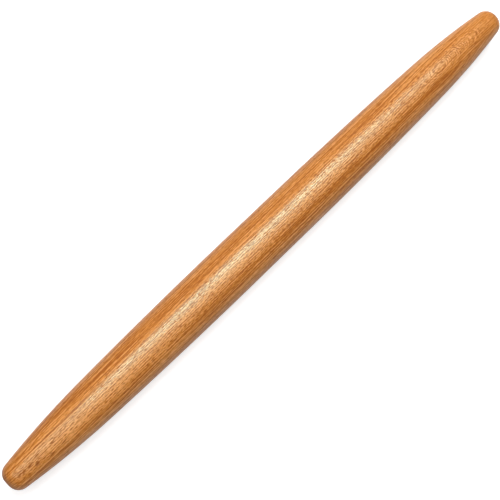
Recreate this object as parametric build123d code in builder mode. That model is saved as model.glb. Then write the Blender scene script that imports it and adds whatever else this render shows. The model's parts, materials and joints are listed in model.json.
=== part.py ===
"""French rolling pin: one solid turning of hardwood with no handles.

The pin is thickest in the middle and thins in one long sweep to two rounded ends. Its outline is a
straight belly, a slow shoulder arc, a quicker nose arc and an end rounding, each tangent to the one
before it, with a small flat where the wood left the lathe's centre. It is the same at both ends.

The turning axis lies along X and the origin is its middle, so that the pin lies on a table as it
does in use, left to right before the baker, with Z up. Sizes are in millimetres.
"""
from build123d import *
import os

os.makedirs("parts", exist_ok=True)

# Driving dimensions
length = 508.0  # end to end
belly_diameter = 38.1  # the thickest part, in the middle
belly_length = 60.0  # the straight stretch in the middle, which the pin rests and rolls on
shoulder_loss = 4.5  # how much thinner the pin is where the slow arc passes into the quicker one
nose_length = 80.0  # from that shoulder to the end
end_diameter = 19.0  # where the nose arc meets the end plane, before the end is rounded
end_round = 8.5  # radius of the rounding between the nose and the small end flat

# Stations along the axis and radii, worked out from the driving dimensions
half_length = length / 2
belly_end = belly_length / 2
belly_radius = belly_diameter / 2
shoulder_station = half_length - nose_length
shoulder_radius = belly_radius - shoulder_loss / 2
end_radius = end_diameter / 2

with BuildPart() as rolling_pin:
    with BuildSketch(Plane.XZ) as half_section:
        with BuildLine():
            belly = Line((-belly_end, belly_radius), (belly_end, belly_radius))
            shoulder_point = (shoulder_station, shoulder_radius)
            shoulder = TangentArc(belly @ 1, shoulder_point, tangent=belly % 1)
            end_point = (half_length, end_radius)
            nose = TangentArc(shoulder @ 1, end_point, tangent=shoulder % 1)
            end_plane = Line(nose @ 1, (half_length, 0))
            mirror([shoulder, nose, end_plane], about=Plane.YZ)
            Line((-half_length, 0), (half_length, 0))
        make_face()
        left_corner = half_section.vertices().group_by(Axis.X)[0].sort_by(Axis.Y)[-1]
        right_corner = half_section.vertices().group_by(Axis.X)[-1].sort_by(Axis.Y)[-1]
        fillet([left_corner, right_corner], radius=min(end_round, end_radius))
    revolve(axis=Axis.X)

rolling_pin.part.label = "rolling_pin"
export_step(rolling_pin.part, "parts/rolling_pin.step")

box = rolling_pin.part.bounding_box()
end_flats = rolling_pin.faces().filter_by(GeomType.PLANE)
flat_diameter = end_flats[0].bounding_box().size.Z
print("length and thickness, mm:", round(box.size.X, 3), round(box.size.Z, 3))
print("end flats:", len(end_flats), "of diameter, mm:", round(flat_diameter, 3))
print("volume, cubic cm:", round(rolling_pin.part.volume / CM**3, 2))
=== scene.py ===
"""Dresses a french rolling pin: one turning of oiled beech, lying on a pale floor in soft light.

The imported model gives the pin's length, its thickness and the straight stretch in its middle. This
file spins a finer copy of the turning, presses a faint raised grain into it, and gives it a solid
figure of beech, so that growth layers, ray flecks and pores run through the wood and show on the
sides, the nose and the end grain as they would on a real piece. Lengths are in metres, as in the
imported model, apart from the wood's own sizes, which are in millimetres and say so.
"""

import json
import logging
import math
from dataclasses import dataclass
from enum import Enum

import bmesh
import bpy
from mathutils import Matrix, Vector, noise


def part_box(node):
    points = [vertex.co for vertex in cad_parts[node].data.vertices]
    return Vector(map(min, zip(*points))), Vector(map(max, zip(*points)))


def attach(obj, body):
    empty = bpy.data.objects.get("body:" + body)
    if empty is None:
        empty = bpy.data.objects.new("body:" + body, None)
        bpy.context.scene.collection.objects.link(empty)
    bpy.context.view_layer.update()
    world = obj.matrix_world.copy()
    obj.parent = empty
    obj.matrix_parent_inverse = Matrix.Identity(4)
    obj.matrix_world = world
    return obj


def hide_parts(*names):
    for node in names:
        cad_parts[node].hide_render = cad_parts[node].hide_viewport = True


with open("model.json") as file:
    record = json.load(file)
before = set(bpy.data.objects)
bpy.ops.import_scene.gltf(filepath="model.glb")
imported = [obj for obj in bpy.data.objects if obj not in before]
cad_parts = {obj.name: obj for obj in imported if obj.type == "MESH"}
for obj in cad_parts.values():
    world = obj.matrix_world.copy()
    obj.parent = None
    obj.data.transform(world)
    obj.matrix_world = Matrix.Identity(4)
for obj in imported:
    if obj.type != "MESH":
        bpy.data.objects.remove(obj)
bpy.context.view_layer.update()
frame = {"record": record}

PIN_NODE = "rolling_pin"
MM = 0.001
MM_PER_METRE = 1000.0
FULL_TURN = 2 * math.pi
WHITE = (1.0, 1.0, 1.0)

# The middle of every noise, of every tone and of the flat layout.
MIDDLE = 0.5

# The places of a colour Mix node's inputs and of its output in the node's own lists.
MIX_SHARE = 0
MIX_FIRST = 6
MIX_SECOND = 7
MIX_RESULT = 2

Rgb = tuple[float, float, float]
Place = tuple[float, float, float]
Stretch = tuple[float, float]

log = logging.getLogger("rolling_pin")


class Ray(Enum):
    """The kinds of light ray to which a stage surface shows its white side."""

    CAMERA = "Is Camera Ray"
    GLOSSY = "Is Glossy Ray"
    TRANSMISSION = "Is Transmission Ray"


class Patch(Enum):
    """Where each pattern is read in the endless noise, so that no two patterns are alike."""

    STREAKS = 0.0
    ARC_WEIGHT = 20.0
    LAYER_WANDER = 40.0
    FLANK_GRAIN = 50.0
    SWAY = 60.0
    LAYER_WEIGHT = 80.0
    THREAD_WANDER = 90.0
    THREAD_WEIGHT = 130.0
    HAIR = 170.0
    OUTER_GRAIN = 300.0


class Signal:
    """A number that varies over a surface: one output of a shader node, with the usual arithmetic."""

    def __init__(self, sheet: "NodeSheet", socket: bpy.types.NodeSocket) -> None:
        """Keeps the sheet that new nodes go on and the output that holds the number."""
        self.sheet = sheet
        self.socket = socket

    def __add__(self, other: "Signal | float") -> "Signal":
        """Returns the sum."""
        return self.sheet.calculate("ADD", self, other)

    def __radd__(self, other: float) -> "Signal":
        """Returns the sum."""
        return self.sheet.calculate("ADD", other, self)

    def __sub__(self, other: "Signal | float") -> "Signal":
        """Returns the difference."""
        return self.sheet.calculate("SUBTRACT", self, other)

    def __rsub__(self, other: float) -> "Signal":
        """Returns the difference from a plain number."""
        return self.sheet.calculate("SUBTRACT", other, self)

    def __mul__(self, other: "Signal | float") -> "Signal":
        """Returns the product."""
        return self.sheet.calculate("MULTIPLY", self, other)

    def __rmul__(self, other: float) -> "Signal":
        """Returns the product."""
        return self.sheet.calculate("MULTIPLY", other, self)

    def __truediv__(self, other: "Signal | float") -> "Signal":
        """Returns the quotient."""
        return self.sheet.calculate("DIVIDE", self, other)


class NodeSheet:
    """Writes shader nodes into one node tree and links them."""

    def __init__(self, tree: bpy.types.NodeTree) -> None:
        """Empties the tree."""
        self.tree = tree
        tree.nodes.clear()

    def place(self, kind: str, **settings: object) -> bpy.types.Node:
        """Adds one node.

        Args:
            kind: The node's type name.
            settings: Values of the node's own properties.

        Returns:
            The new node.
        """
        node = self.tree.nodes.new(kind)
        for name, value in settings.items():
            setattr(node, name, value)
        return node

    def feed(self, entry: bpy.types.NodeSocket, value: object) -> None:
        """Links a signal or an output to a node's input, or sets a plain number or colour on it.

        Args:
            entry: The input.
            value: A Signal, an output socket, or a plain value.
        """
        if isinstance(value, Signal):
            self.tree.links.new(value.socket, entry)
        elif isinstance(value, bpy.types.NodeSocket):
            self.tree.links.new(value, entry)
        else:
            entry.default_value = value

    def calculate(self, operation: str, *values: "Signal | float") -> Signal:
        """Works out one step of arithmetic.

        Args:
            operation: The Math node's name for the step.
            values: The signals and plain numbers that it takes, in order.

        Returns:
            The result.
        """
        node = self.place("ShaderNodeMath", operation=operation)
        for entry, value in zip(node.inputs, values):
            self.feed(entry, value)
        return Signal(self, node.outputs[0])

    def split(self, vector: bpy.types.NodeSocket) -> tuple[Signal, Signal, Signal]:
        """Takes a vector apart.

        Args:
            vector: The output that holds the vector.

        Returns:
            Its three parts.
        """
        node = self.place("ShaderNodeSeparateXYZ")
        self.feed(node.inputs[0], vector)
        return tuple(Signal(self, output) for output in node.outputs)

    def join(self, x: "Signal | float", y: "Signal | float", z: "Signal | float") -> bpy.types.NodeSocket:
        """Makes a vector of three numbers.

        Args:
            x: The first part.
            y: The second part.
            z: The third part.

        Returns:
            The output that holds the vector.
        """
        node = self.place("ShaderNodeCombineXYZ")
        for entry, value in zip(node.inputs, (x, y, z)):
            self.feed(entry, value)
        return node.outputs[0]

    def noise_over(self, dimensions: str, entry_name: str, where: "Signal | bpy.types.NodeSocket",
                   detail: float = 0.0, roughness: float = 0.5, lacunarity: float = 2.0) -> Signal:
        """Reads smooth noise, of cells one unit wide.

        Args:
            dimensions: In how many directions the noise varies, in the Noise node's own words.
            entry_name: The name of the node's input for the point.
            where: The point, already divided by the size of the cells along each direction.
            detail: How many finer layers of noise are added.
            roughness: How strong each finer layer is against the one before it.
            lacunarity: How much finer each layer is.

        Returns:
            The noise, between 0 and 1.
        """
        node = self.place("ShaderNodeTexNoise", noise_dimensions=dimensions, normalize=True)
        self.feed(node.inputs[entry_name], where)
        for name, value in (("Scale", 1.0), ("Detail", detail), ("Roughness", roughness),
                            ("Lacunarity", lacunarity), ("Distortion", 0.0)):
            node.inputs[name].default_value = value
        return Signal(self, node.outputs[0])

    def clouds(self, where: bpy.types.NodeSocket) -> Signal:
        """Returns noise that varies with all three parts of a vector."""
        return self.noise_over("3D", "Vector", where)

    def streaks(self, along: Signal, across: Signal) -> Signal:
        """Returns noise that varies with two numbers."""
        return self.noise_over("2D", "Vector", self.join(along, across, 0.0))

    def layers(self, where: Signal, detail: float = 0.0, roughness: float = 0.5,
               lacunarity: float = 2.0) -> Signal:
        """Returns noise that varies with one number only, as growth layers vary with depth."""
        return self.noise_over("1D", "W", where, detail, roughness, lacunarity)

    def grains(self, where: bpy.types.NodeSocket) -> tuple[Signal, Signal]:
        """Scatters grains one unit apart.

        Args:
            where: The point, already divided by the spacing of the grains along each direction.

        Returns:
            The distance to the middle of the nearest grain, and that grain's own chance number.
        """
        node = self.place("ShaderNodeTexVoronoi", voronoi_dimensions="3D", feature="F1")
        self.feed(node.inputs["Vector"], where)
        node.inputs["Scale"].default_value = 1.0
        chance, _, _ = self.split(node.outputs["Color"])
        return Signal(self, node.outputs["Distance"]), chance

    def between(self, value: Signal, low: float, high: float, at_low: float = 0.0,
                at_high: float = 1.0) -> Signal:
        """Goes smoothly from one value to another as a signal goes from low to high.

        Args:
            value: The signal.
            low: Where the step starts.
            high: Where the step ends.
            at_low: The result up to its start.
            at_high: The result from its end on.

        Returns:
            The result.
        """
        node = self.place("ShaderNodeMapRange", interpolation_type="SMOOTHSTEP")
        for entry, given in zip(node.inputs, (value, low, high, at_low, at_high)):
            self.feed(entry, given)
        return Signal(self, node.outputs[0])

    def blend(self, share: Signal, first: object, second: object) -> bpy.types.NodeSocket:
        """Mixes two colours.

        Args:
            share: How much of the second colour there is, from 0 to 1.
            first: The first colour, plain or an output.
            second: The second colour, plain or an output.

        Returns:
            The output that holds the mixed colour.
        """
        node = self.place("ShaderNodeMix", data_type="RGBA", clamp_factor=True)
        self.feed(node.inputs[MIX_SHARE], share)
        self.feed(node.inputs[MIX_FIRST], first)
        self.feed(node.inputs[MIX_SECOND], second)
        return node.outputs[MIX_RESULT]

    def white_rays(self, reflected: float) -> Signal:
        """Tells the rays to which the stage shows its white side from the rays that light.

        Args:
            reflected: How much of the white side reflections show.

        Returns:
            1 to the camera and through clear things, the given share in reflections, and 0 elsewhere.
        """
        node = self.place("ShaderNodeLightPath")
        camera, glossy, through = [Signal(self, node.outputs[kind.value]) for kind in Ray]
        return self.calculate("MINIMUM", camera + glossy * reflected + through, 1.0)


def solid_colour(colour: Rgb) -> tuple[float, float, float, float]:
    """Returns a colour with full cover."""
    return (*colour, 1.0)


@dataclass(frozen=True)
class Cells:
    """The size of one kind of irregularity in the wood, in millimetres, and how strong it is."""

    along: float
    across: float
    strength: float


@dataclass(frozen=True)
class Threads:
    """A set of fine lines along the grain: how far apart they are and how they wander and fade.

    Where a line is weakest, its strength is the faintest value. The weight's cells make the rest.
    """

    spacing: float
    wander: Cells
    weight: Cells
    faintest: float = 0.1
    weight_edge: Stretch = (0.3, 0.7)


@dataclass(frozen=True)
class Grain:
    """The fibres of one part of the wood: soft streaks, fine lines and short hairs along the grain."""

    streaks: tuple[Cells, ...]
    threads: tuple[Threads, ...]
    hair: Cells


@dataclass(frozen=True)
class Bands:
    """The broad bands that several growth layers make together, in millimetres of depth."""

    width: float = 1.6
    detail: float = 1.0
    roughness: float = 0.6
    lacunarity: float = 2.3
    strength: float = 0.4
    extra_in_eye: float = 0.4


@dataclass(frozen=True)
class Layers:
    """Single growth layers, which show as fine arcs: their sizes in millimetres and their strengths.

    The width is one layer's. The wander shifts the layers, in layers, and the weight and the patches
    make some of them and some places of them fainter.
    """

    width: float = 0.46
    wander: float = 2.0
    wander_width: float = 1.7
    weight_width: float = 0.9
    patches: Cells = Cells(along=5.0, across=2.4, strength=1.3)
    patch_edge: Stretch = (0.35, 0.62)
    patch_faintest: float = 0.1
    everywhere: float = 0.06
    in_eye: float = 0.72
    in_tip: float = 0.15


@dataclass(frozen=True)
class Swell:
    """A place where the growth layers bulge towards the surface, which shows as an eye of ovals.

    All sizes are in millimetres, station along the pin and side round it from the facing line.
    """

    station: float
    side: float
    height: float
    half_length: float
    half_width: float


@dataclass(frozen=True)
class Mark:
    """One spot or streak on the pin, in millimetres, leaning from the grain in degrees.

    A mark's strength says how dark it is. A shade's strength is added to the tone, so it is below zero where
    the shade is darker than the wood beside it and above zero where it is lighter. Some shades are streaks
    of the wood. Others are painted light and painted shade, which stand in for how the lamps fall on the
    rims and beside the highlight.
    """

    station: float
    side: float
    half_length: float
    half_width: float
    lean: float = 0.0
    strength: float = 0.95


@dataclass(frozen=True)
class Scatter:
    """Small grains scattered through the wood.

    Spacing is in millimetres along, across and deep. A grain fades out over the edge, counted from
    its middle in spacings. Its chance number gives its strength, from none to full over the chance.
    """

    spacing: Place
    edge: Stretch
    chance: Stretch


@dataclass(frozen=True)
class BeechFigure:
    """How the growth layers, rays and pores lie in the blank, in millimetres and degrees.

    The facing line is the one along which the growth layers lie flat to the surface. The ridge is
    the strip about it where arcs show. Two stretches of the pin are figured: the eye near the right
    end, which fades again towards the end, and the left tip. Calm is how far the grain steps back:
    the short grain in the figured stretches, and all of it at the right end and on the end faces.
    """

    facing_turn: float = 16.2
    turn_per_metre: float = -31.0
    pith_depth: float = 70.0
    waves: tuple[Cells, ...] = (
        Cells(along=90.0, across=16.0, strength=0.35),
        Cells(along=22.0, across=4.5, strength=0.22),
        Cells(along=6.0, across=1.8, strength=0.16),
        Cells(along=7.0, across=0.9, strength=0.22),
    )
    swells: tuple[Swell, ...] = (
        Swell(station=185.5, side=-0.5, height=3.22, half_length=22.0, half_width=22.0),
    )
    bands: Bands = Bands()
    layers: Layers = Layers()
    long_grain: Grain = Grain(
        streaks=(
            Cells(along=60.0, across=1.6, strength=0.4),
            Cells(along=60.0, across=0.75, strength=0.7),
        ),
        threads=(
            Threads(spacing=2.5, wander=Cells(90.0, 3.2, 1.0), weight=Cells(70.0, 2.4, 0.44)),
            Threads(spacing=1.3, wander=Cells(50.0, 1.8, 0.8), weight=Cells(25.0, 1.4, 0.6)),
        ),
        hair=Cells(along=4.8, across=0.37, strength=1.3),
    )
    short_grain: Grain = Grain(
        streaks=(
            Cells(along=30.0, across=1.6, strength=0.32),
            Cells(along=14.0, across=0.62, strength=0.85),
        ),
        threads=(
            Threads(spacing=1.25, wander=Cells(30.0, 1.8, 0.5), weight=Cells(14.0, 1.3, 0.75),
                    faintest=0.0),
        ),
        hair=Cells(along=2.9, across=0.33, strength=2.15),
    )
    long_grain_from: Stretch = (0.03, 0.2)
    sway: Cells = Cells(along=18.0, across=5.0, strength=0.8)
    ridge_width: float = 4.6
    eye_from: Stretch = (150.0, 174.0)
    eye_fade: Stretch = (221.0, 237.0)
    eye_fade_share: float = 0.75
    tip_from: Stretch = (-200.0, -222.0)
    figure_calm: float = 0.6
    tip_calm: float = 0.5
    right_calm_from: Stretch = (218.0, 238.0)
    right_calm: float = 0.35
    end_calm: float = 0.5
    end_grain_from: Stretch = (0.55, 1.0)
    # Some of these shades are streaks of the wood. The others are painted light and painted shade: the
    # lighter patches on the rims near both ends and on the lower left flank, and the darker and lighter pair
    # at station -84 beside the highlight.
    streaks_and_painted_light: tuple[Mark, ...] = (
        Mark(station=-146.0, side=11.0, half_length=85.0, half_width=1.6, lean=0.74, strength=-0.28),
        Mark(station=-34.0, side=9.9, half_length=90.0, half_width=1.8, lean=-0.3, strength=-0.15),
        Mark(station=131.0, side=6.95, half_length=35.0, half_width=1.8, lean=-1.1, strength=-0.17),
        Mark(station=-175.0, side=-2.0, half_length=45.0, half_width=2.8, lean=-0.86, strength=0.28),
        Mark(station=71.0, side=-7.5, half_length=150.0, half_width=1.8, lean=-0.26, strength=-0.2),
        Mark(station=-22.0, side=-7.4, half_length=75.0, half_width=1.9, strength=-0.22),
        Mark(station=62.0, side=-9.4, half_length=115.0, half_width=1.1, strength=0.19),
        Mark(station=85.0, side=-11.6, half_length=80.0, half_width=1.6, strength=-0.12),
        Mark(station=-84.0, side=3.9, half_length=26.0, half_width=2.2, strength=-0.16),
        Mark(station=-84.0, side=-0.3, half_length=36.0, half_width=2.2, strength=0.14),
        Mark(station=-158.0, side=6.6, half_length=24.0, half_width=1.9, strength=0.2),
        Mark(station=-203.0, side=8.6, half_length=27.0, half_width=1.2, strength=0.28),
        Mark(station=-198.0, side=6.3, half_length=28.0, half_width=1.0, strength=-0.22),
        Mark(station=-205.0, side=-11.0, half_length=30.0, half_width=2.6, strength=0.22),
        Mark(station=178.0, side=12.6, half_length=20.0, half_width=2.0, strength=0.22),
        Mark(station=-173.0, side=10.3, half_length=25.0, half_width=1.4, strength=-0.16),
        Mark(station=-83.0, side=8.9, half_length=30.0, half_width=2.2, strength=-0.14),
        Mark(station=105.0, side=9.2, half_length=36.0, half_width=1.5, strength=-0.2),
        Mark(station=215.0, side=9.0, half_length=46.0, half_width=5.0, strength=0.12),
        Mark(station=-128.0, side=-10.4, half_length=38.0, half_width=1.7, strength=0.22),
        Mark(station=160.0, side=-6.6, half_length=50.0, half_width=2.0, strength=-0.22),
    )
    marks: tuple[Mark, ...] = (
        Mark(station=-243.7, side=0.5, half_length=1.7, half_width=0.7, lean=16.0, strength=0.75),
        Mark(station=-240.0, side=0.3, half_length=1.9, half_width=0.7, lean=14.0, strength=0.85),
        Mark(station=-235.2, side=0.2, half_length=2.0, half_width=0.75, lean=12.0),
        Mark(station=-230.2, side=-1.6, half_length=2.0, half_width=1.1, lean=20.0),
        Mark(station=-226.9, side=2.1, half_length=2.4, half_width=0.36),
        Mark(station=-214.0, side=1.3, half_length=1.8, half_width=0.42, lean=-10.0),
        Mark(station=-218.3, side=-3.7, half_length=2.8, half_width=0.36, lean=6.0),
        Mark(station=-207.9, side=-3.0, half_length=3.4, half_width=0.36, lean=6.0),
        Mark(station=10.0, side=-3.9, half_length=1.3, half_width=0.5, lean=-40.0, strength=0.8),
    )
    marked_from: Stretch = (0.0, 4.0)
    rays: Scatter = Scatter(spacing=(5.4, 0.8, 7.0), edge=(0.15, 0.29), chance=(0.05, 0.5))
    vessels: Scatter = Scatter(spacing=(4.2, 0.6, 0.7), edge=(0.14, 0.32), chance=(0.1, 0.7))


@dataclass(frozen=True)
class Spot:
    """Where a spot of the pin lay in the tree, in millimetres, as signals on one sheet.

    Station is the distance along the pin, side the distance sideways round the pith from the facing
    line, and layer the depth outward through even growth layers, counted from the pin's axis. Flank
    is how far the spot lies on a flank of the layers: 0 on the facing line and 1 square to it.
    """

    sheet: NodeSheet
    station: Signal
    side: Signal
    layer: Signal
    flank: Signal

    def streaks(self, cells: Cells, across: Signal, patch: Patch) -> Signal:
        """Returns noise in cells along the grain, at a distance across it, read at a patch."""
        return self.sheet.streaks(self.station / cells.along, across / cells.across + patch.value)


@dataclass(frozen=True)
class Effect:
    """What one feature of the wood does to its surface: how far it covers, dulls and sinks it."""

    cover: float
    dull: float
    sink: float = 0.0


@dataclass(frozen=True)
class OiledBeech:
    """Beech with a satin oil finish: its colours, its gloss and the relief of its grain.

    The tint belongs to the oil's sheen. Light wood stands proud of dark wood and is glossier: the tone
    relief says how far the tone shows in the relief, the proud gloss how much smoother proud wood is,
    and the other three how high the relief is, where its distance is in metres.
    """

    name: str = "oiled_beech"
    light: Rgb = (0.75, 0.325, 0.095)
    base: Rgb = (0.57, 0.195, 0.026)
    dark: Rgb = (0.36, 0.085, 0.001)
    fleck: Rgb = (0.22, 0.048, 0.004)
    end_grain: Rgb = (0.30, 0.085, 0.012)
    roughness: float = 0.33
    specular: float = 0.4
    sheen_tint: Rgb = (0.45, 1.0, 0.84)
    ray_strength: float = 0.8
    on_flecks: Effect = Effect(cover=0.85, dull=0.9, sink=0.8)
    on_pores: Effect = Effect(cover=0.6, dull=0.6, sink=0.6)
    on_ends: Effect = Effect(cover=0.6, dull=0.2)
    proud_gloss: float = 0.15
    tone_relief: float = 0.4
    grain_height: float = 0.6
    grain_relief: float = 0.5
    relief_distance: float = 0.1 * MM
    figure: BeechFigure = BeechFigure()

    def material(self) -> bpy.types.Material:
        """Builds the finish.

        Returns:
            The finished material.
        """
        material = bpy.data.materials.new(self.name)
        material.use_nodes = True
        sheet = NodeSheet(material.node_tree)
        where = sheet.place("ShaderNodeTexCoord")
        figure = self.figure
        spot = self.wood_spot(sheet, where.outputs["Object"])
        tone, relief = self.tone(spot, self.warped_layer(spot))
        end_share = self.end_share(sheet, where.outputs["Normal"])
        calm = sheet.between(spot.station, *figure.right_calm_from, 0.0, figure.right_calm)
        calm = sheet.calculate("MAXIMUM", end_share * figure.end_calm, calm)
        tone = MIDDLE + (tone - MIDDLE) * (1.0 - calm)
        # Adds the wood's streaks together with painted light and painted shade on the rims and beside the
        # highlight.
        tone = tone + self.marked(spot, figure.streaks_and_painted_light)
        flecks = self.scattered(spot, figure.rays) * (1.0 - spot.flank)
        flecks = sheet.calculate("MAXIMUM", flecks * self.ray_strength, self.marked(spot, figure.marks))
        pores = self.scattered(spot, figure.vessels)

        bump = sheet.place("ShaderNodeBump")
        bump.inputs["Strength"].default_value = self.grain_relief
        bump.inputs["Distance"].default_value = self.relief_distance
        height = relief * self.grain_height - flecks * self.on_flecks.sink - pores * self.on_pores.sink
        sheet.feed(bump.inputs["Height"], height)

        rough = self.roughness + self.proud_gloss * (MIDDLE - relief)
        for share, effect in ((flecks, self.on_flecks), (pores, self.on_pores), (end_share, self.on_ends)):
            rough = rough + effect.dull * share

        shader = sheet.place("ShaderNodeBsdfPrincipled")
        sheet.feed(shader.inputs["Base Color"], self.colour(sheet, tone, flecks, pores, end_share))
        sheet.feed(shader.inputs["Roughness"], rough)
        sheet.feed(shader.inputs["Normal"], bump.outputs[0])
        shader.inputs["Specular IOR Level"].default_value = self.specular
        shader.inputs["Specular Tint"].default_value = solid_colour(self.sheen_tint)
        output = sheet.place("ShaderNodeOutputMaterial")
        sheet.feed(output.inputs["Surface"], shader.outputs[0])
        return material

    def colour(self, sheet: NodeSheet, tone: Signal, flecks: Signal, pores: Signal,
               end_share: Signal) -> bpy.types.NodeSocket:
        """Mixes the wood's colour.

        Args:
            sheet: The node tree being written.
            tone: How light the wood is: dark at 0, base at a half and light at 1.
            flecks: How strongly the spot is a ray fleck or a mark.
            pores: How strongly the spot is a pore.
            end_share: How far the surface cuts across the fibres.

        Returns:
            The output that holds the colour.
        """
        darkened = sheet.blend(tone * 2.0, solid_colour(self.dark), solid_colour(self.base))
        colour = sheet.blend(tone * 2.0 - 1.0, darkened, solid_colour(self.light))
        colour = sheet.blend(flecks * self.on_flecks.cover, colour, solid_colour(self.fleck))
        colour = sheet.blend(pores * self.on_pores.cover, colour, solid_colour(self.fleck))
        return sheet.blend(end_share * self.on_ends.cover, colour, solid_colour(self.end_grain))

    def wood_spot(self, sheet: NodeSheet, place: bpy.types.NodeSocket) -> Spot:
        """Finds where a spot of the pin lay in the tree.

        Args:
            sheet: The node tree being written.
            place: The spot's place on the pin, in metres.

        Returns:
            The spot in the wood's own terms.
        """
        figure = self.figure
        x, y, z = sheet.split(place)
        turn = x * math.radians(figure.turn_per_metre) + math.radians(figure.facing_turn)
        sine = sheet.calculate("SINE", turn)
        cosine = sheet.calculate("COSINE", turn)
        outward = (z * cosine - y * sine) * MM_PER_METRE + figure.pith_depth
        sideways = (y * cosine + z * sine) * MM_PER_METRE
        from_pith = sheet.calculate("SQRT", outward * outward + sideways * sideways)
        side = sheet.calculate("ARCTAN2", sideways, outward) * figure.pith_depth
        layer = from_pith - figure.pith_depth
        flank = side * side / (side * side + layer * layer)
        return Spot(sheet, x * MM_PER_METRE, side, layer, flank)

    def warped_layer(self, spot: Spot) -> Signal:
        """Counts the waves and swells of the growth layers in.

        Args:
            spot: The spot in the wood.

        Returns:
            The depth through the uneven layers.
        """
        sheet = spot.sheet
        warped = spot.layer
        for wave in self.figure.waves:
            along = spot.station / wave.along
            height = sheet.clouds(sheet.join(along, spot.side / wave.across, spot.layer / wave.across))
            warped = warped + (height - MIDDLE) * wave.strength
        for swell in self.figure.swells:
            along = (spot.station - swell.station) / swell.half_length
            across = (spot.side - swell.side) / swell.half_width
            fall = sheet.calculate("EXPONENT", (along * along + across * across) * -1.0)
            warped = warped + fall * swell.height
        return warped

    def figured_shares(self, spot: Spot) -> tuple[Signal, Signal]:
        """Finds how far a spot lies in the eye and in the left tip.

        Args:
            spot: The spot in the wood.

        Returns:
            The share in the eye and the share in the tip.
        """
        figure = self.figure
        sheet = spot.sheet
        narrow = -1.0 / (figure.ridge_width * figure.ridge_width)
        ridge = sheet.calculate("EXPONENT", spot.side * spot.side * narrow)
        faded = sheet.between(spot.station, *figure.eye_fade, 0.0, figure.eye_fade_share)
        eye = (sheet.between(spot.station, *figure.eye_from) - faded) * ridge
        tip = sheet.between(spot.station, *figure.tip_from) * ridge
        return eye, tip

    def arcs(self, spot: Spot, warped: Signal) -> Signal:
        """Draws the single growth layers.

        Args:
            spot: The spot in the wood.
            warped: The depth through the uneven growth layers.

        Returns:
            How light each layer is, about zero.
        """
        layers = self.figure.layers
        patches = layers.patches
        sheet = spot.sheet
        wander = sheet.layers(warped / layers.wander_width + Patch.LAYER_WANDER.value)
        phase = (warped / layers.width + wander * layers.wander) * FULL_TURN
        weight = sheet.layers(warped / layers.weight_width + Patch.LAYER_WEIGHT.value)
        patch = spot.streaks(patches, spot.side, Patch.ARC_WEIGHT)
        weight = weight * sheet.between(patch, *layers.patch_edge, layers.patch_faintest, patches.strength)
        return sheet.calculate("SINE", phase) * weight

    def tone(self, spot: Spot, warped: Signal) -> tuple[Signal, Signal]:
        """Draws the growth layers and the grain.

        The facing side has short grain near its middle and long grain beside it. On the flanks, where
        the surface cuts the layers, the long grain follows their depth.

        Args:
            spot: The spot in the wood.
            warped: The depth through the uneven growth layers.

        Returns:
            How light the wood is, and how proud and smooth, both about a half.
        """
        figure = self.figure
        sheet = spot.sheet
        bands = sheet.layers(warped / figure.bands.width, detail=figure.bands.detail,
                             roughness=figure.bands.roughness, lacunarity=figure.bands.lacunarity)
        eye, tip = self.figured_shares(spot)
        shown = figure.layers.everywhere + eye * figure.layers.in_eye + tip * figure.layers.in_tip
        arcs = self.arcs(spot, warped) * shown
        tone = MIDDLE + (bands - MIDDLE) * (figure.bands.strength + eye * figure.bands.extra_in_eye) + arcs

        facing = 1.0 - spot.flank
        calm = facing * (eye + tip * figure.tip_calm)
        sway = spot.streaks(figure.sway, spot.side, Patch.SWAY) - MIDDLE
        swayed = spot.side + sway * figure.sway.strength
        outer = sheet.between(spot.flank, *figure.long_grain_from)
        hairs: Signal | float = 0.0
        for across, share, grain in (
            (swayed, facing * (1.0 - outer) * (1.0 - calm * figure.figure_calm), figure.short_grain),
            (spot.side + Patch.OUTER_GRAIN.value, facing * outer, figure.long_grain),
            (warped + Patch.FLANK_GRAIN.value, spot.flank, figure.long_grain),
        ):
            hair = spot.streaks(grain.hair, across, Patch.HAIR) - MIDDLE
            hairs = hair * share * grain.hair.strength + hairs
            tone = tone + self.grain_lines(spot, grain, across) * share
        return tone + hairs, MIDDLE + (tone - MIDDLE) * self.tone_relief + hairs

    def grain_lines(self, spot: Spot, grain: Grain, across: Signal) -> Signal:
        """Draws soft streaks and fine lines along the grain, which wander a little and come and go.

        Args:
            spot: The spot in the wood.
            grain: The kind of grain.
            across: The distance across the grain.

        Returns:
            How light the lines are, about zero.
        """
        sheet = spot.sheet
        lines: Signal | float = 0.0
        for cells in grain.streaks:
            soft = spot.streaks(cells, across, Patch.STREAKS) - MIDDLE
            lines = soft * cells.strength + lines
        for thread in grain.threads:
            wander = spot.streaks(thread.wander, across, Patch.THREAD_WANDER)
            phase = (across / thread.spacing + wander * thread.wander.strength) * FULL_TURN
            weight = spot.streaks(thread.weight, across, Patch.THREAD_WEIGHT)
            weight = sheet.between(weight, *thread.weight_edge, thread.faintest, thread.weight.strength)
            lines = sheet.calculate("SINE", phase) * weight + lines
        return lines

    def scattered(self, spot: Spot, scatter: Scatter) -> Signal:
        """Finds where scattered rays or vessels are cut open by the surface.

        Args:
            spot: The spot in the wood.
            scatter: The kind of grain that is scattered.

        Returns:
            How strongly the spot is part of one: a dash on the sides, a dot on the end grain.
        """
        sheet = spot.sheet
        along, across, deep = scatter.spacing
        cell = sheet.join(spot.station / along, spot.side / across, spot.layer / deep)
        distance, chance = sheet.grains(cell)
        return sheet.between(distance, *scatter.edge, 1.0, 0.0) * sheet.between(chance, *scatter.chance)

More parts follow.
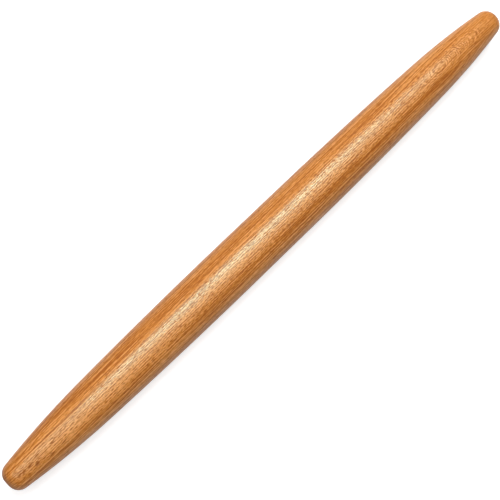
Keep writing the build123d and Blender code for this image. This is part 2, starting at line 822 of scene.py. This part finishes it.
    def marked(self, spot: Spot, marks: tuple[Mark, ...]) -> Signal:
        """Adds up marks, on the upper side of the pin only.

        Args:
            spot: The spot in the wood.
            marks: The marks.

        Returns:
            How strongly the spot is marked.
        """
        sheet = spot.sheet
        found: Signal | float = 0.0
        for mark in marks:
            cosine = math.cos(math.radians(mark.lean))
            sine = math.sin(math.radians(mark.lean))
            east = spot.station - mark.station
            north = spot.side - mark.side
            along = (east * cosine + north * sine) / mark.half_length
            across = (north * cosine - east * sine) / mark.half_width
            away = along * along + across * across
            share = sheet.calculate("EXPONENT", away * away * -1.0)
            found = share * mark.strength + found
        return found * sheet.between(spot.layer, *self.figure.marked_from)

    def end_share(self, sheet: NodeSheet, normal: bpy.types.NodeSocket) -> Signal:
        """Returns how far the surface cuts across the fibres, 0 on the sides and 1 on the ends."""
        along, _, _ = sheet.split(normal)
        return sheet.between(sheet.calculate("ABSOLUTE", along), *self.figure.end_grain_from)


@dataclass
class Turning:
    """The pin as it comes off the lathe: a belly, a slow shoulder, a quicker nose and a rounded end.

    Lengths are in metres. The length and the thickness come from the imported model. The raised grain
    lies in long narrow cells, and stops at the pole's radius from the axis. A point that is nearer to
    the axis than the pole's point counts as on it.
    """

    half_length: float
    belly_radius: float
    belly_length: float
    shoulder_loss: float = 4.5 * MM
    nose_length: float = 80.0 * MM
    end_diameter: float = 19.0 * MM
    end_round: float = 8.5 * MM
    belly_steps: int = 14
    shoulder_steps: int = 66
    nose_steps: int = 44
    round_steps: int = 12
    flat_steps: int = 2
    turn_steps: int = 200
    mirror_gap: float = 0.01 * MM
    seam_gap: float = 0.001 * MM
    grain_depth: float = 0.012 * MM
    grain_length: float = 45.0 * MM
    grain_width: float = 2.4 * MM
    pole_radius: float = 1.0 * MM
    pole_point: float = 0.1 * MM
    finish: OiledBeech = OiledBeech()

    def arc_from(self, start: Vector, slope: float, end: Vector) -> tuple[Vector, float, float]:
        """Finds the arc that leaves one point of the outline at a slope and ends at another.

        Args:
            start: Where the arc starts, as station and radius.
            slope: How steeply the outline falls there, as an angle.
            end: Where the arc ends.

        Returns:
            The arc's centre, its radius and the slope at its end.
        """
        run = end.x - start.x
        fall = end.y - start.y
        radius = -(run * run + fall * fall) / (2 * (run * math.sin(slope) + fall * math.cos(slope)))
        centre = start - radius * Vector((math.sin(slope), math.cos(slope)))
        return centre, radius, math.asin((end.x - centre.x) / radius)

    def outline_arcs(self) -> list[tuple[Vector, float, int]]:
        """Works out the outline's three arcs from the belly to the end flat.

        Returns:
            For each arc its centre, the angle that it turns through and its number of steps.
        """
        belly_end = Vector((self.belly_length / 2, self.belly_radius))
        shoulder = Vector((self.half_length - self.nose_length, self.belly_radius - self.shoulder_loss / 2))
        corner = Vector((self.half_length, self.end_diameter / 2))
        shoulder_centre, _, shoulder_slope = self.arc_from(belly_end, 0.0, shoulder)
        nose_centre, nose_radius, _ = self.arc_from(shoulder, shoulder_slope, corner)
        round_station = self.half_length - self.end_round
        reach = round_station - nose_centre.x
        round_height = nose_centre.y + math.sqrt((nose_radius - self.end_round) ** 2 - reach * reach)
        nose_slope = math.asin(reach / (nose_radius - self.end_round))
        return [
            (shoulder_centre, shoulder_slope, self.shoulder_steps),
            (nose_centre, nose_slope - shoulder_slope, self.nose_steps),
            (Vector((round_station, round_height)), math.pi / 2 - nose_slope, self.round_steps),
        ]

    def build(self) -> bpy.types.Object:
        """Spins the pin and dresses it.

        Returns:
            The finished piece.
        """
        shape = bmesh.new()
        self.draw_outline(shape)
        self.spin_round(shape)
        self.raise_grain(shape)
        self.unwrap(shape)
        mesh = bpy.data.meshes.new("pin_turning")
        shape.to_mesh(mesh)
        shape.free()
        mesh.materials.append(self.finish.material())
        piece = bpy.data.objects.new("pin_turning", mesh)
        bpy.context.scene.collection.objects.link(piece)
        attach(piece, "root")
        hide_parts(PIN_NODE)
        return piece

    def draw_outline(self, shape: bmesh.types.BMesh) -> None:
        """Draws half of the outline in the XZ plane, from the middle to the end of the axis, and mirrors it.

        Args:
            shape: The empty mesh to draw in.
        """
        tip = shape.verts.new((0.0, 0.0, self.belly_radius))
        for _ in range(self.belly_steps):
            tip = self.step_to(shape, tip, Vector((self.belly_length / 2 / self.belly_steps, 0.0, 0.0)))
        for centre, angle, steps in self.outline_arcs():
            made = bmesh.ops.spin(shape, geom=[tip], cent=(centre.x, 0.0, centre.y), axis=(0.0, 1.0, 0.0),
                                  angle=angle, steps=steps, use_merge=False, use_duplicate=False)
            tip = next(item for item in made["geom_last"] if isinstance(item, bmesh.types.BMVert))
        drop = Vector((0.0, 0.0, -tip.co.z / self.flat_steps))
        for _ in range(self.flat_steps):
            tip = self.step_to(shape, tip, drop)
        reach = max(vertex.co.x for vertex in shape.verts)
        bmesh.ops.scale(shape, verts=shape.verts, vec=(self.half_length / reach, 1.0, 1.0))
        everything = list(shape.verts) + list(shape.edges)
        bmesh.ops.mirror(shape, geom=everything, axis="X", merge_dist=self.mirror_gap)

    def step_to(self, shape: bmesh.types.BMesh, tip: bmesh.types.BMVert, way: Vector) -> bmesh.types.BMVert:
        """Draws one straight step of the outline.

        Args:
            shape: The mesh with the outline so far.
            tip: The outline's last point.
            way: The step.

        Returns:
            The step's far end.
        """
        made = bmesh.ops.extrude_vert_indiv(shape, verts=[tip])
        bmesh.ops.translate(shape, verts=made["verts"], vec=way)
        return made["verts"][0]

    def spin_round(self, shape: bmesh.types.BMesh) -> None:
        """Spins the outline a full turn about the axis and closes the seam and both poles.

        Args:
            shape: The mesh with the outline.
        """
        bmesh.ops.spin(shape, geom=list(shape.verts) + list(shape.edges), cent=(0.0, 0.0, 0.0),
                       axis=(1.0, 0.0, 0.0), angle=FULL_TURN, steps=self.turn_steps,
                       use_merge=True, use_duplicate=False)
        bmesh.ops.remove_doubles(shape, verts=shape.verts, dist=self.seam_gap)
        bmesh.ops.recalc_face_normals(shape, faces=shape.faces)
        for face in shape.faces:
            face.smooth = True

    def raise_grain(self, shape: bmesh.types.BMesh) -> None:
        """Sinks the softer wood by about a hundredth of a millimetre, so that the harder layers stand proud.

        Args:
            shape: The spun mesh.
        """
        for vertex in shape.verts:
            x, y, z = vertex.co
            radius = math.hypot(y, z)
            if radius > self.pole_radius:
                spot = Vector((x / self.grain_length, y / self.grain_width, z / self.grain_width))
                sink = self.grain_depth * (1 + noise.noise(spot)) / 2
                vertex.co.y *= 1 - sink / radius
                vertex.co.z *= 1 - sink / radius

    def unwrap(self, shape: bmesh.types.BMesh) -> None:
        """Lays the surface out flat, lengthwise by round, with its one seam along the underside.

        Args:
            shape: The spun mesh.
        """
        layout = shape.loops.layers.uv.new("OFBake")
        reach = self.half_length + self.belly_radius
        for face in shape.faces:
            middle = face.calc_center_median()
            facing = math.atan2(middle.y, middle.z)
            for corner in face.loops:
                spot = corner.vert.co
                radius = math.hypot(spot.y, spot.z)
                turned = math.atan2(spot.y, spot.z) if radius > self.pole_point else facing
                turned = facing + math.remainder(turned - facing, FULL_TURN)
                out = abs(spot.x) + self.belly_radius - radius
                lengthwise = MIDDLE + math.copysign(out, spot.x) / reach / 2
                corner[layout].uv = (lengthwise, MIDDLE + turned / FULL_TURN)


class LampUse(Enum):
    """What a lamp is for: to light and to gleam, only to gleam, or only to fill."""

    LIGHT = "light"
    GLEAM = "gleam"
    FILL = "fill"


@dataclass(frozen=True)
class SoftLamp:
    """A flat soft lamp, as bright in a mirror as its level says, where a level of 1 is white."""

    name: str
    place: Place
    aim: Place
    width: float
    depth: float
    level: float
    use: LampUse = LampUse.LIGHT

    def hang(self) -> bpy.types.Object:
        """Hangs the lamp.

        Returns:
            The lamp.
        """
        light = bpy.data.lights.new(self.name, "AREA")
        light.shape = "RECTANGLE"
        light.size = self.width
        light.size_y = self.depth
        light.energy = self.level * math.pi * self.width * self.depth
        lamp = bpy.data.objects.new(self.name, light)
        lamp.location = self.place
        lamp.rotation_mode = "QUATERNION"
        lamp.rotation_quaternion = (Vector(self.aim) - Vector(self.place)).to_track_quat("-Z", "Y")
        lamp.visible_camera = False
        lamp.visible_diffuse = self.use is not LampUse.GLEAM
        lamp.visible_glossy = self.use is not LampUse.FILL
        bpy.context.scene.collection.objects.link(lamp)
        return lamp


@dataclass(frozen=True)
class Studio:
    """The pale floor, the soft surround and the lamps over the pin.

    To the camera the floor is lifted towards white, and over the fade, counted from the middle in
    metres, the lift grows to full white. Reflections show a share of the white sides.
    """

    floor_level: float
    floor_half_width: float = 3.0
    floor_colour: Rgb = (0.56, 0.56, 0.56)
    floor_roughness: float = 0.9
    floor_lift: float = 0.68
    floor_fade: Stretch = (0.6, 1.6)
    floor_reflected: float = 0.3
    surround: float = 0.1
    surround_reflected: float = 0.47
    lamps: tuple[SoftLamp, ...] = (
        SoftLamp(name="key", place=(0.45, 0.15, 1.5), aim=(0.45, 0.15, 0.0),
                 width=1.3, depth=0.53, level=6.5),
        SoftLamp(name="gleam", place=(0.34, 0.14, 1.49), aim=(0.34, 0.14, 0.0),
                 width=1.05, depth=0.38, level=20.5, use=LampUse.GLEAM),
        SoftLamp(name="top", place=(0.45, -0.38, 1.48), aim=(0.45, -0.2, 0.0),
                 width=1.3, depth=0.6, level=2.65),
        SoftLamp(name="soft_gleam", place=(0.14, -0.36, 1.47), aim=(0.14, -0.2, 0.0),
                 width=1.48, depth=0.6, level=3.5, use=LampUse.GLEAM),
        SoftLamp(name="far_gleam", place=(0.14, -0.8, 1.15), aim=(0.14, 0.0, 0.0),
                 width=1.48, depth=0.25, level=4.6, use=LampUse.GLEAM),
        SoftLamp(name="back_gleam", place=(0.3, 1.25, 0.75), aim=(0.3, 0.0, 0.0),
                 width=1.8, depth=0.9, level=0.6, use=LampUse.GLEAM),
        SoftLamp(name="left", place=(-0.62, 0.0, 1.2), aim=(-0.62, 0.0, 0.0),
                 width=0.5, depth=0.9, level=4.0),
        SoftLamp(name="side", place=(0.75, 0.9, 1.1), aim=(0.1, 0.0, 0.0),
                 width=1.2, depth=0.5, level=4.1, use=LampUse.FILL),
    )

    def build(self) -> None:
        """Lays the floor, lights the surround and hangs the lamps."""
        self.lay_floor()
        self.light_surround()
        for lamp in self.lamps:
            lamp.hang()

    def lay_floor(self) -> bpy.types.Object:
        """Lays the floor just under the pin.

        Returns:
            The floor.
        """
        shape = bmesh.new()
        bmesh.ops.create_grid(shape, x_segments=1, y_segments=1, size=self.floor_half_width)
        bmesh.ops.translate(shape, verts=shape.verts, vec=(0.0, 0.0, self.floor_level))
        mesh = bpy.data.meshes.new("floor")
        shape.to_mesh(mesh)
        shape.free()
        mesh.materials.append(self.floor_material())
        floor = bpy.data.objects.new("floor", mesh)
        bpy.context.scene.collection.objects.link(floor)
        return floor

    def floor_material(self) -> bpy.types.Material:
        """Builds a pale floor that the camera sees as white, apart from the pin's shadow.

        Returns:
            The floor's material.
        """
        material = bpy.data.materials.new("pale_floor")
        material.use_nodes = True
        sheet = NodeSheet(material.node_tree)
        x, y, _ = sheet.split(sheet.place("ShaderNodeTexCoord").outputs["Object"])
        lift = sheet.between(sheet.calculate("SQRT", x * x + y * y), *self.floor_fade, self.floor_lift, 1.0)
        shader = sheet.place("ShaderNodeBsdfPrincipled")
        shader.inputs["Base Color"].default_value = solid_colour(self.floor_colour)
        shader.inputs["Roughness"].default_value = self.floor_roughness
        shader.inputs["Specular IOR Level"].default_value = 0.0
        shader.inputs["Emission Color"].default_value = solid_colour(WHITE)
        sheet.feed(shader.inputs["Emission Strength"], sheet.white_rays(self.floor_reflected) * lift)
        output = sheet.place("ShaderNodeOutputMaterial")
        sheet.feed(output.inputs["Surface"], shader.outputs[0])
        return material

    def light_surround(self) -> None:
        """Makes the world white to the camera, dimmer in reflections, and a faint even light elsewhere."""
        world = bpy.data.worlds.new("surround")
        world.use_nodes = True
        sheet = NodeSheet(world.node_tree)
        background = sheet.place("ShaderNodeBackground")
        background.inputs["Color"].default_value = solid_colour(WHITE)
        strength = self.surround + sheet.white_rays(self.surround_reflected) * (1.0 - self.surround)
        sheet.feed(background.inputs["Strength"], strength)
        output = sheet.place("ShaderNodeOutputWorld")
        sheet.feed(output.inputs["Surface"], background.outputs[0])
        bpy.context.scene.world = world


@dataclass(frozen=True)
class Viewpoint:
    """Where the picture is taken from: a point that is looked at, and a direction and distance to it.

    The direction is in degrees, the lens and its sensor are in millimetres and the rest is in metres.
    """

    aim: Place = (-18.91 * MM, 0.70 * MM, 0.0)
    azimuth: float = -45.614
    elevation: float = 70.0
    distance: float = 815.7 * MM
    lens: float = 80.76
    sensor_width: float = 36.0
    nearest: float = 0.05
    farthest: float = 50.0

    def set_up(self) -> bpy.types.Object:
        """Sets the camera up as the scene's own.

        Returns:
            The camera.
        """
        turn = math.radians(self.azimuth)
        rise = math.radians(self.elevation)
        back = Vector((math.sin(turn) * math.cos(rise), -math.cos(turn) * math.cos(rise), math.sin(rise)))
        data = bpy.data.cameras.new("camera")
        data.lens = self.lens
        data.sensor_width = self.sensor_width
        data.clip_start = self.nearest
        data.clip_end = self.farthest
        camera = bpy.data.objects.new("camera", data)
        camera.location = Vector(self.aim) + back * self.distance
        camera.rotation_mode = "QUATERNION"
        camera.rotation_quaternion = (-back).to_track_quat("-Z", "Y")
        bpy.context.scene.collection.objects.link(camera)
        bpy.context.scene.camera = camera
        return camera


def belly_band() -> tuple[float, float]:
    """Reads the pin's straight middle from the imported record.

    Returns:
        Its radius and its length, in metres.
    """
    mounts = frame["record"]["mounts"]
    band = next(mount for mount in mounts if mount["name"] == "belly_band")
    return band["dims"]["r_mm"] * MM, band["dims"]["length_mm"] * MM


def main() -> None:
    """Builds the camera, the studio and the pin, in that order."""
    logging.basicConfig(level=logging.INFO, format="%(message)s")
    bpy.context.scene.view_settings.view_transform = "Standard"
    low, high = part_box(PIN_NODE)
    belly_radius, belly_length = belly_band()
    Viewpoint().set_up()
    log.info("camera: set up")
    Studio(floor_level=-belly_radius).build()
    log.info("studio: floor %.2f mm below the pin's axis", belly_radius / MM)
    pin = Turning(half_length=(high.x - low.x) / 2, belly_radius=belly_radius, belly_length=belly_length)
    piece = pin.build()
    log.info("%s: %d faces", piece.name, len(piece.data.polygons))


if __name__ == "__main__":
    main()
